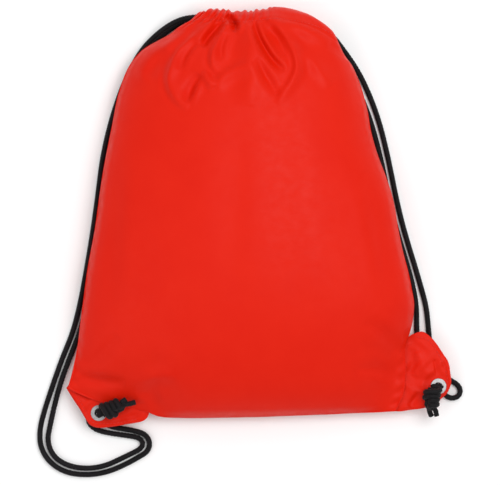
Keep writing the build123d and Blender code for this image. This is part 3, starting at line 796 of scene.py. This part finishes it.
def stitches(name, path, up, length=0.0026, gap=0.0008, thickness=0.0005):
    """A row of lockstitches along a line on the cloth: each one a short thread, sunk at its ends."""
    points, _ = even_steps(np.asarray(path, float), (length + gap) / STITCH_STEPS)
    vertices, faces = [], []
    around = 6
    for k in range(0, len(points) - STITCH_STEPS, STITCH_STEPS):
        part = points[k:k + STITCH_STEPS]
        run = part[-1] - part[0]
        run /= np.linalg.norm(run)
        side = np.cross(run, up)
        side /= np.linalg.norm(side)
        top = np.cross(side, run)
        start = len(vertices)
        for u in np.linspace(0, 1, STITCH_STEPS):
            centre = part[0] + (part[-1] - part[0]) * u * length / (length + gap)
            arch = math.sin(math.pi * (0.12 + 0.76 * u))
            centre = centre + top * (0.00045 * arch - 0.0001)
            for i in range(around):
                angle = 2 * math.pi * i / around
                radius = thickness / 2 * (0.6 + 0.4 * arch)
                vertices.append(centre + radius * (math.cos(angle) * side + math.sin(angle) * top))
        faces += grid_faces(STITCH_STEPS, around, wrap=True, start=start)
        faces.append(tuple(range(start + around - 1, start - 1, -1)))
        end = start + STITCH_STEPS * around
        faces.append(tuple(range(end - around, end)))
    return new_mesh(name, vertices, faces, THREAD)


front_cloth, front_stitch_line = cloth_panel("front_cloth", "front")
back_cloth, back_stitch_line = cloth_panel("back_cloth", "back")
front_stitching = stitches("front_hem_stitching", front_stitch_line, (0, 0, 1))
back_stitching = stitches("back_hem_stitching", back_stitch_line, (0, 0, -1))

# ------------------------------------------------------------------ corners
LEFT_EAR = [
    (-0.1806, -0.1596), (-0.1748, -0.1690), (-0.1674, -0.1802), (-0.1612, -0.1905), (-0.1572, -0.1950),
    (-0.1500, -0.1970), (-0.1375, -0.1960), (-0.1225, -0.1934), (-0.1110, -0.1914), (-0.1052, -0.1880),
    (-0.1030, -0.1820), (-0.1070, -0.1740), (-0.1220, -0.1660), (-0.1420, -0.1600), (-0.1620, -0.1560),
    (-0.1750, -0.1545),
]
RIGHT_EAR = [
    (0.1385, -0.1125), (0.1450, -0.1088), (0.1527, -0.1068), (0.1592, -0.1105), (0.1658, -0.1175),
    (0.1724, -0.1274), (0.1774, -0.1354), (0.1792, -0.1452), (0.1800, -0.1551), (0.1763, -0.1643),
    (0.1711, -0.1695), (0.1658, -0.1742), (0.1560, -0.1781), (0.1428, -0.1801), (0.1270, -0.1810),
    (0.1180, -0.1700), (0.1200, -0.1400), (0.1280, -0.1200),
]
# Folds of the corners, written as in FOLDS.
EAR_FOLDS = {
    "left": [
        ([(-0.1770, -0.1605), (-0.1655, -0.1662), (-0.1540, -0.1715)], -0.0016, 0.0025, 0.0030),
        ([(-0.1660, -0.1760), (-0.1600, -0.1830), (-0.1560, -0.1890)], -0.0008, 0.0020, 0.0020),
        ([(-0.1380, -0.1900), (-0.1240, -0.1870), (-0.1090, -0.1840)], -0.0012, 0.0022, 0.0026),
        ([(-0.1420, -0.1760), (-0.1300, -0.1740), (-0.1160, -0.1760)], 0.0012, 0.0030, 0.0030),
    ],
    "right": [
        ([(0.1640, -0.1330), (0.1655, -0.1420), (0.1672, -0.1500)], -0.0017, 0.0030, 0.0012),
        ([(0.1700, -0.1270), (0.1742, -0.1400), (0.1752, -0.1530)], -0.0010, 0.0016, 0.0020),
        ([(0.1400, -0.1765), (0.1450, -0.1710), (0.1500, -0.1640)], -0.0034, 0.0030, 0.0040),
        ([(0.1600, -0.1500), (0.1530, -0.1380), (0.1490, -0.1250)], 0.0019, 0.0050, 0.0050),
        ([(0.1530, -0.1540), (0.1450, -0.1500), (0.1390, -0.1420)], -0.0016, 0.0035, 0.0035),
        ([(0.1420, -0.1180), (0.1440, -0.1330), (0.1420, -0.1460)], -0.0022, 0.0040, 0.0050),
    ],
}


def corner_height(xy, side, eyelet, body_side):
    """Middle height of a corner's cloth over the floor, and its swell beyond the eyelet."""
    out = np.linalg.norm(xy - (eyelet.x, eyelet.y), axis=1)
    toward = (xy - (eyelet.x, eyelet.y)) @ np.array(body_side)
    free = smoothstep(out, 0.009, 0.016)
    middle = (EAR_TOP + EAR_BOTTOM) / 2 - 0.004 * smoothstep(-toward, 0.008, 0.030)
    for points, height, left_width, right_width in EAR_FOLDS[side]:
        line = smooth_line(points, 20)
        dist, along, across = line_distance(xy, line)
        width = np.where(across > 0, left_width, right_width)
        middle = middle + free * height * np.exp(-(dist / width) ** 2) * np.sin(math.pi * along) ** 0.5
    middle = middle + free * 0.0004 * np.sin(xy[:, 0] * 420 + 3 * np.sin(xy[:, 1] * 160))
    return middle, 0.0012 * free


def corner_cloth(side, outline, eyelet, body_side):
    """A corner of stacked cloth: a thin pillow with a hole for its eyelet."""
    around = 220             # points round the corner, and rings from its hole to its edge
    radial = 44
    edge = smooth_line(outline + [outline[0]], around + 1)[:-1]
    centre = np.array((eyelet.x, eyelet.y))
    away = edge - centre
    start = centre + HOLE_R * away / np.linalg.norm(away, axis=1)[:, None]
    share = np.linspace(0, 1, radial)[:, None, None] ** 0.85
    flat = (start[None] + share * (edge - start)[None]).reshape(-1, 2)
    reach = np.repeat(share[:, 0, 0], around)
    middle, swell = corner_height(flat, side, eyelet, body_side)
    round_edge = np.sqrt(np.clip(1 - reach ** 14, 0.01, 1))
    half = ((EAR_TOP - EAR_BOTTOM) / 2 + swell * (1 - smoothstep(reach, 0.8, 1.0))) * round_edge
    top = np.column_stack([flat, middle + half])
    bottom = np.column_stack([flat, middle - half])
    faces = [face[::-1] for face in grid_faces(radial, around, wrap=True)]
    under = grid_faces(radial, around, wrap=True, start=len(top))
    rim = (radial - 1) * around
    for i in range(around):
        k = (i + 1) % around
        under.append((rim + i, rim + k, len(top) + rim + k, len(top) + rim + i))
        under.append((k, i, len(top) + i, len(top) + k))
    return new_mesh(side + "_corner_cloth", np.vstack([top, bottom]), faces + under, CLOTH)


def corner_stitches(side, points, eyelet, body_side):
    line = smooth_line(points, 80)
    middle, swell = corner_height(line, side, eyelet, body_side)
    path = np.column_stack([line, middle + (EAR_TOP - EAR_BOTTOM) / 2 + swell])
    return stitches(side + "_corner_threads", path, (0, 0, 1))


LEFT_BODY_SIDE = (0.45, 0.89)        # from the eyelet towards the middle of the sack
RIGHT_BODY_SIDE = (-0.95, 0.3)
LEFT_THREADS = [
    (-0.1715, -0.1655), (-0.1630, -0.1790), (-0.1560, -0.1915), (-0.1350, -0.1925), (-0.1120, -0.1880),
]
RIGHT_THREADS = [
    (0.1480, -0.1115), (0.1600, -0.1160), (0.1720, -0.1360), (0.1765, -0.1540), (0.1700, -0.1660),
]
left_ear = corner_cloth("left", LEFT_EAR, LEFT_EYELET, LEFT_BODY_SIDE)
right_ear = corner_cloth("right", RIGHT_EAR, RIGHT_EYELET, RIGHT_BODY_SIDE)
left_threads = corner_stitches("left", LEFT_THREADS, LEFT_EYELET, LEFT_BODY_SIDE)
right_threads = corner_stitches("right", RIGHT_THREADS, RIGHT_EYELET, RIGHT_BODY_SIDE)


# ------------------------------------------------------------------ knots
KNOT_CORD = 0.0049        # cord in a knot, pulled slightly thinner
WRAP_WIDTH = 0.0063       # how far the wraps stand out from the knot's middle, sideways and up
WRAP_HEIGHT = 0.0045


def join(pieces, name):
    bpy.ops.object.select_all(action="DESELECT")
    for piece in pieces:
        piece.select_set(True)
    bpy.context.view_layer.objects.active = pieces[0]
    bpy.ops.object.join()
    pieces[0].name = name
    pieces[0].data.name = name
    return pieces[0]


def stopper_knot(name, eyelet, near, far, tails, wraps=1.5):
    """A doubled cord comes up through the eyelet, wraps round itself and ends in two cut tails."""
    near, far = np.array(near), np.array(far)
    length = np.linalg.norm(far - near)
    axis = (far - near) / length
    side = np.cross((0, 0, 1.0), axis)
    side /= np.linalg.norm(side)
    top = np.cross(axis, side)
    pieces = []
    for index, tail in enumerate(tails):
        shift = (index - 0.5) * KNOT_CORD * 0.96
        foot = np.array((eyelet.x, eyelet.y, 0.0)) - shift * 0.84 * side
        heights = (KNOT_CORD / 2 + 0.0002, EAR_BOTTOM, FLANGE_TOP + 0.0008)
        rise = [foot + (0, 0, height) for height in heights]
        turn = np.linspace(0, 1, 17)
        angle = 2 * math.pi * wraps * turn - math.pi / 2
        along = 0.0030 + (length - 0.0060) * turn + shift
        loose = 1 + 0.05 * np.sin(7 * turn + 2 * index)
        wrap = (near + along[:, None] * axis + (WRAP_WIDTH * loose * np.cos(angle))[:, None] * side
                + (WRAP_HEIGHT * loose * np.sin(angle))[:, None] * top)
        tuck = far + axis * (shift + 0.0005) - top * 0.0010
        outer = smooth_line(np.vstack([rise, wrap, tuck]), 260)
        inside = [near + axis * 0.002 + shift * side, (near + far) / 2 + shift * side * 0.9,
                  far + shift * side]
        core = smooth_line(np.vstack(inside + [tail]), 120)
        for kind, line in (("wrap", outer), ("tail", core)):
            obj, _ = braided_tube(f"{name}_{kind}_{index}", line, diameter=KNOT_CORD,
                                  step=0.0005, around=22)
            pieces.append(obj)
    return join(pieces, name)


LEFT_TAILS = [
    [(-0.1275, -0.1722, 0.0285), (-0.1238, -0.1694, 0.0290)],
    [(-0.1215, -0.1738, 0.0280), (-0.1150, -0.1722, 0.0278)],
]
RIGHT_TAILS = [
    [(0.1640, -0.1790, 0.0235), (0.1660, -0.1852, 0.0212)],
    [(0.1590, -0.1795, 0.0238), (0.1610, -0.1855, 0.0212)],
]
left_knot = stopper_knot("left_knot_braid", LEFT_EYELET, (-0.1478, -0.1826, 0.0258),
                         (-0.1288, -0.1762, 0.0268), LEFT_TAILS)
right_knot = stopper_knot("right_knot_braid", RIGHT_EYELET, (0.1628, -0.1572, 0.0258),
                          (0.1592, -0.1758, 0.0258), RIGHT_TAILS)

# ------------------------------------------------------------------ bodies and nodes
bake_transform(front_cloth)
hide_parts("front_panel", "front_channel", "left_side_seam", "right_side_seam")
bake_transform(front_stitching)
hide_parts("front_channel_stitching")
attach(back_cloth, "bag")
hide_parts("back_panel", "back_channel", "bottom_seam")
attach(back_stitching, "bag")
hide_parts("back_channel_stitching")
for obj, node in ((left_ear, "left_corner"), (right_ear, "right_corner"),
                  (left_threads, "left_corner_stitching"), (right_threads, "right_corner_stitching")):
    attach(obj, "bag")
    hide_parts(node)
knots = {"left": left_knot, "right": right_knot}
for side, obj in knots.items():
    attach(obj, side + "_stopper")
    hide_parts(side + "_knot", side + "_cord_riser")
    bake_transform(loops[side])
    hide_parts(side + "_cord_front_run", side + "_cord_turn", side + "_cord_back_run")
for name, obj in cords.items():
    side = name.split("_")[0]
    front = "front" in name
    if front:
        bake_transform(obj)
    else:
        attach(obj, "bag")
    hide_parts(name)
for name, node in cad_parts.items():
    for word, finish in (("eyelet", METAL), ("cord", CORD), ("stitching", THREAD)):
        if word in name:
            node.data.materials.clear()
            node.data.materials.append(finish)
            break
